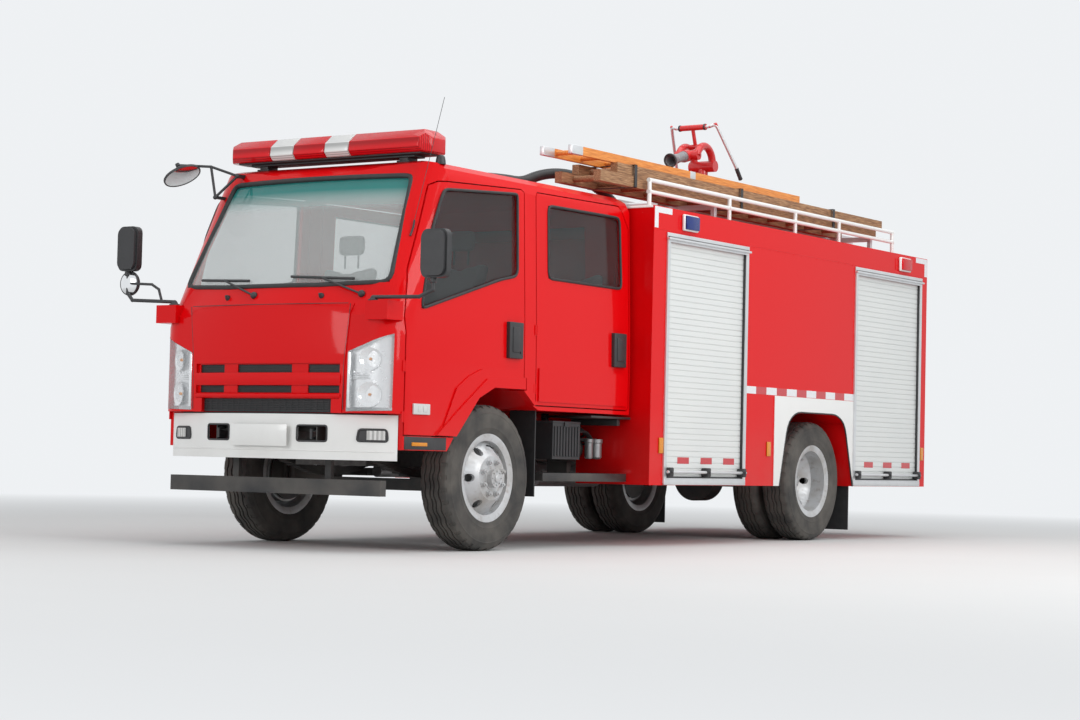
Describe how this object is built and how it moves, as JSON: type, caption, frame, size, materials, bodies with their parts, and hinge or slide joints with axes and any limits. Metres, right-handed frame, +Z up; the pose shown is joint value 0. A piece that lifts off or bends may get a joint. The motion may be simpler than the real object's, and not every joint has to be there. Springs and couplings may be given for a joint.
{
  "type": "crew-cab fire truck",
  "caption": "Two-axle forward-control fire truck with a hollow four-door crew cab, roller-shutter lockers, roof ladders and a roof water monitor.",
  "frame": {"origin": "middle of the truck's length and width, on the ground", "axes": "+Z up, the truck faces -Y, its left side is +X"},
  "size_m": [2.78, 7.8018, 3.4732],
  "materials": {
    "black_steel": "satin black chassis paint",
    "cast_metal": "dull cast metal",
    "galvanised": "dull zinc-grey steel",
    "black_plastic": "matt black plastic",
    "white_paint": "gloss white paint",
    "red_paint": "gloss fire red paint",
    "clear_glass": "lightly tinted glass",
    "lamp_lens": "clear lamp lens over a bright reflector",
    "grey_fabric": "grey woven upholstery",
    "red_lens": "translucent red plastic",
    "aluminium": "satin anodised aluminium",
    "wood": "weathered brown wood",
    "orange_wood": "orange-brown varnished wood",
    "rubber": "black rubber",
    "amber_lens": "amber plastic lens",
    "grey_paint": "grey hammered metal",
    "tyre_rubber": "worn black tyre rubber",
    "silver_paint": "silver wheel paint"
  },
  "bodies": {
    "truck": {"chassis_frame": "black_steel", "front_axle": "black_steel", "rear_axle": "black_steel", "leaf_springs": "black_steel", "engine": "cast_metal", "propshaft": "black_steel", "fuel_tank": "galvanised", "battery_box": "black_plastic", "exhaust": "galvanised", "front_bumper": "white_paint", "underrun_bar": "black_steel", "cab_shell": "red_paint", "cab_glass": "clear_glass", "grille_panel": "red_paint", "headlamps": "lamp_lens", "dashboard": "black_plastic", "front_seats": "grey_fabric", "rear_bench": "grey_fabric", "light_bar": "red_lens", "mirrors": "black_plastic", "wipers": "black_plastic", "fire_body": "red_paint", "locker_frames": "aluminium", "shutters": "aluminium", "water_tank": "galvanised", "pump": "red_paint", "roof_rails": "white_paint", "metal_ladder": "aluminium", "wooden_ladder": "wood", "orange_ladder": "orange_wood", "suction_hose": "rubber", "mudguards": "rubber", "marker_lamps": "amber_lens", "rear_step": "aluminium", "side_step": "black_steel", "monitor_base": "red_paint"},
    "knuckle_left": {"knuckle_left": "black_steel"},
    "knuckle_right": {"knuckle_right": "black_steel"},
    "tie_rod": {"tie_rod": "black_steel"},
    "wheel_front_left": {"tyre_front_left": "tyre_rubber", "wheel_front_left": "silver_paint"},
    "wheel_front_right": {"tyre_front_right": "tyre_rubber", "wheel_front_right": "silver_paint"},
    "wheels_rear_left": {"tyres_rear_left": "tyre_rubber", "wheels_rear_left": "silver_paint"},
    "wheels_rear_right": {"tyres_rear_right": "tyre_rubber", "wheels_rear_right": "silver_paint"},
    "door_front_left": {"door_front_left": "red_paint", "glass_front_left": "clear_glass"},
    "door_front_right": {"door_front_right": "red_paint", "glass_front_right": "clear_glass"},
    "door_rear_left": {"door_rear_left": "red_paint", "glass_rear_left": "clear_glass"},
    "door_rear_right": {"door_rear_right": "red_paint", "glass_rear_right": "clear_glass"},
    "monitor_swivel": {"monitor_swivel": "red_paint"},
    "monitor_barrel": {"monitor_barrel": "grey_paint"},
    "steering_wheel": {"steering_wheel": "black_plastic"}
  },
  "joints": [
    {"name": "steer_left", "type": "hinge", "parent": "truck", "child": "knuckle_left", "pos_m": [0.705, -2.7, 0.485], "axis": [0, 0, 1], "range_deg": [-32, 32]},
    {"name": "steer_right", "type": "hinge", "parent": "truck", "child": "knuckle_right", "pos_m": [-0.705, -2.7, 0.485], "axis": [0, 0, 1], "range_deg": [-32, 32]},
    {"name": "tie_rod_swing", "type": "hinge", "parent": "knuckle_left", "child": "tie_rod", "pos_m": [0.705, -2.51, 0.485], "axis": [0, 0, 1], "range_deg": [-32, 32]},
    {"name": "steering_wheel_turn", "type": "hinge", "parent": "truck", "child": "steering_wheel", "pos_m": [0.48, -3.26, 1.61], "axis": [0, 0.5, 0.866], "range_deg": [-544, 544]},
    {"name": "spin_front_left", "type": "hinge", "parent": "knuckle_left", "child": "wheel_front_left", "pos_m": [0.848, -2.7, 0.485], "axis": [1, 0, 0], "continuous": true},
    {"name": "spin_front_right", "type": "hinge", "parent": "knuckle_right", "child": "wheel_front_right", "pos_m": [-0.848, -2.7, 0.485], "axis": [1, 0, 0], "continuous": true},
    {"name": "spin_rear_left", "type": "hinge", "parent": "truck", "child": "wheels_rear_left", "pos_m": [0.825, 1.775, 0.485], "axis": [1, 0, 0], "continuous": true},
    {"name": "spin_rear_right", "type": "hinge", "parent": "truck", "child": "wheels_rear_right", "pos_m": [-0.825, 1.775, 0.485], "axis": [1, 0, 0], "continuous": true},
    {"name": "door_front_left_swing", "type": "hinge", "parent": "truck", "child": "door_front_left", "pos_m": [0.986, -3.679, 1.5], "axis": [0, 0, -1], "range_deg": [0, 70]},
    {"name": "door_front_right_swing", "type": "hinge", "parent": "truck", "child": "door_front_right", "pos_m": [-0.986, -3.679, 1.5], "axis": [0, 0, 1], "range_deg": [0, 70]},
    {"name": "door_rear_left_swing", "type": "hinge", "parent": "truck", "child": "door_rear_left", "pos_m": [0.992, -2.209, 1.5], "axis": [0, 0, -1], "range_deg": [0, 70]},
    {"name": "door_rear_right_swing", "type": "hinge", "parent": "truck", "child": "door_rear_right", "pos_m": [-0.992, -2.209, 1.5], "axis": [0, 0, 1], "range_deg": [0, 70]},
    {"name": "monitor_turn", "type": "hinge", "parent": "truck", "child": "monitor_swivel", "pos_m": [0, 1.74, 2.9903], "axis": [0, 0, 1], "range_deg": [-170, 170]},
    {"name": "monitor_raise", "type": "hinge", "parent": "monitor_swivel", "child": "monitor_barrel", "pos_m": [0, 1.74, 3.13], "axis": [-1, 0, 0], "range_deg": [-5, 80]}
  ],
  "couplings": [
    {"joint": "steer_right", "follows": "steer_left", "ratio": 1},
    {"joint": "tie_rod_swing", "follows": "steer_left", "ratio": -1},
    {"joint": "steering_wheel_turn", "follows": "steer_left", "ratio": 17}
  ]
}
